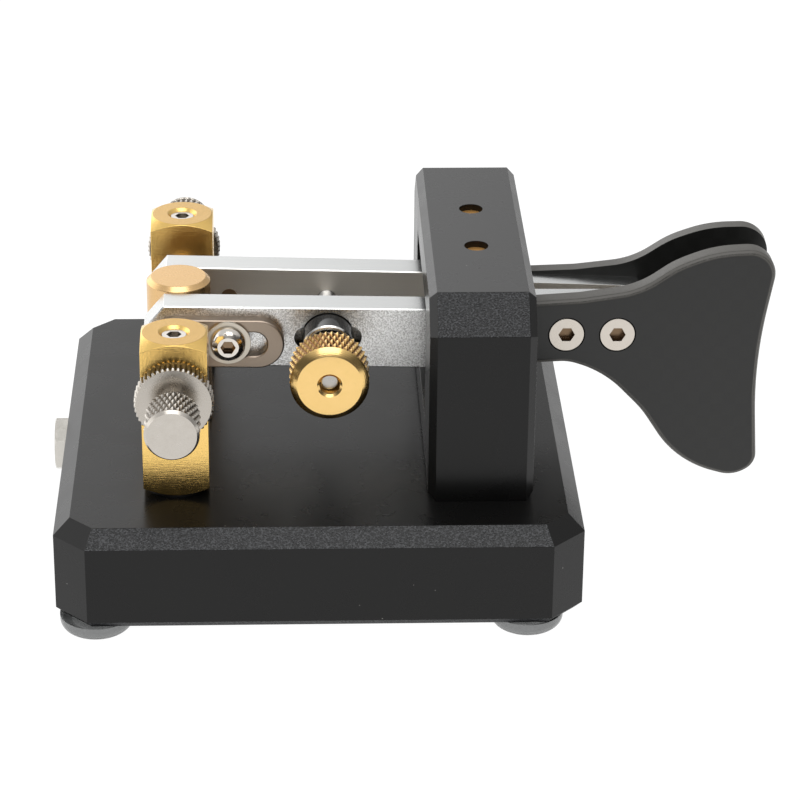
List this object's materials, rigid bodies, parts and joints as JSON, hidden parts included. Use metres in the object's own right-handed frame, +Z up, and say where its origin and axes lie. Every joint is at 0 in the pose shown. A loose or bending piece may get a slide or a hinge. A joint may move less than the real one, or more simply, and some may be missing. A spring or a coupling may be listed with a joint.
{
  "type": "dual-lever morse key",
  "caption": "Dual-lever morse key: a black square base with a bridge, paired levers with finger plates, brass contact posts and a sprung tension knob.",
  "frame": {"origin": "centre of the footprint of the whole key, on the desk", "axes": "+X towards the finger plates, +Y towards the rear lever, +Z up"},
  "size_m": [0.1136, 0.0822, 0.0512],
  "materials": {
    "black_aluminium": "black anodised, satin, fine grain on the bevels",
    "blasted_aluminium": "clear anodised over a fine blasted texture",
    "brass": "turned, satin, diamond knurl on the knob",
    "nickel": "nickel plated, soft sheen, knurled grips",
    "steel": "bright stainless",
    "spring_steel": "drawn wire",
    "black_steel": "black oxide",
    "silver": "plain silver",
    "tinned_brass": "tinned",
    "carbon_laminate": "woven carbon laminate, satin, bare edges",
    "black_plastic": "moulded, satin",
    "wire_insulation": "soft insulation",
    "clear_rubber": "translucent, satin"
  },
  "bodies": {
    "base": {"base": "black_aluminium", "rubber_feet": "clear_rubber", "bridge": "black_aluminium", "bridge_screws": "black_steel", "upper_pivot_screws": "brass", "lower_pivot_screws": "brass", "front_contact_post": "brass", "rear_contact_post": "brass", "post_set_screws": "steel", "post_insulators": "black_plastic", "shoulder_bushes": "black_plastic", "rest_post": "brass", "post_mounting_screws": "steel", "solder_lugs": "tinned_brass", "jack_body": "black_plastic", "jack_nut": "nickel", "jack_tags": "tinned_brass", "front_post_wire": "wire_insulation", "rear_post_wire": "wire_insulation", "common_wire": "wire_insulation"},
    "front_lever": {"front_lever": "blasted_aluminium", "front_contact_plate": "nickel", "front_plate_screw": "steel", "front_plate_washer": "nickel", "front_finger_plate": "carbon_laminate", "front_finger_screws": "steel", "spring_cup": "black_plastic", "tension_spring": "spring_steel"},
    "rear_lever": {"rear_lever": "blasted_aluminium", "rear_contact_plate": "nickel", "rear_plate_screw": "steel", "rear_plate_washer": "nickel", "rear_finger_plate": "carbon_laminate", "rear_finger_screws": "steel", "tension_stud": "steel"},
    "front_contact_tip": {"front_contact_tip": "silver"},
    "front_contact_screw": {"front_contact_screw": "nickel"},
    "rear_contact_tip": {"rear_contact_tip": "silver"},
    "rear_contact_screw": {"rear_contact_screw": "nickel"},
    "front_lock_nut": {"front_lock_nut": "nickel"},
    "rear_lock_nut": {"rear_lock_nut": "nickel"},
    "spring_washer": {"spring_washer": "steel"},
    "tension_knob": {"tension_knob": "brass"}
  },
  "joints": [
    {"name": "front_lever_pivot", "type": "hinge", "parent": "base", "child": "front_lever", "pos_m": [0.00992, -0.0074, 0.03635], "axis": [0, 0, 1], "range_deg": [0, 0.46], "stiffness_Nm_per_rad": 0.1, "springref_deg": -5.73},
    {"name": "rear_lever_pivot", "type": "hinge", "parent": "base", "child": "rear_lever", "pos_m": [0.00992, 0.0074, 0.03635], "axis": [0, 0, -1], "range_deg": [0, 0.46], "stiffness_Nm_per_rad": 0.1, "springref_deg": -5.73},
    {"name": "front_contact_feed", "type": "slide", "parent": "base", "child": "front_contact_tip", "axis": [0, -1, 0], "range_m": [0, 0.00105]},
    {"name": "front_contact_screw_turn", "type": "hinge", "parent": "front_contact_tip", "child": "front_contact_screw", "pos_m": [-0.03618, -0.037, 0.0357], "axis": [0, -1, 0], "range_deg": [0, 541]},
    {"name": "rear_contact_feed", "type": "slide", "parent": "base", "child": "rear_contact_tip", "axis": [0, 1, 0], "range_m": [0, 0.00105]},
    {"name": "rear_contact_screw_turn", "type": "hinge", "parent": "rear_contact_tip", "child": "rear_contact_screw", "pos_m": [-0.03618, 0.037, 0.0357], "axis": [0, 1, 0], "range_deg": [0, 541]},
    {"name": "front_lock_nut_turn", "type": "hinge", "parent": "base", "child": "front_lock_nut", "pos_m": [-0.03618, -0.0293, 0.0357], "axis": [0, -1, 0], "range_deg": [0, 30]},
    {"name": "rear_lock_nut_turn", "type": "hinge", "parent": "base", "child": "rear_lock_nut", "pos_m": [-0.03618, 0.0293, 0.0357], "axis": [0, 1, 0], "range_deg": [0, 30]},
    {"name": "tension_feed", "type": "slide", "parent": "rear_lever", "child": "spring_washer", "axis": [0, -1, 0], "range_m": [-0.001, 0.0025], "deforming": ["tension_spring"]},
    {"name": "tension_knob_turn", "type": "hinge", "parent": "spring_washer", "child": "tension_knob", "pos_m": [-0.01293, -0.0232, 0.03689], "axis": [0, -1, 0], "range_deg": [-721, 1801]}
  ],
  "couplings": [
    {"joint": "front_contact_screw_turn", "follows": "front_contact_feed", "rad_per_m": 8976},
    {"joint": "rear_contact_screw_turn", "follows": "rear_contact_feed", "rad_per_m": 8976},
    {"joint": "tension_knob_turn", "follows": "tension_feed", "rad_per_m": 12566}
  ]
}
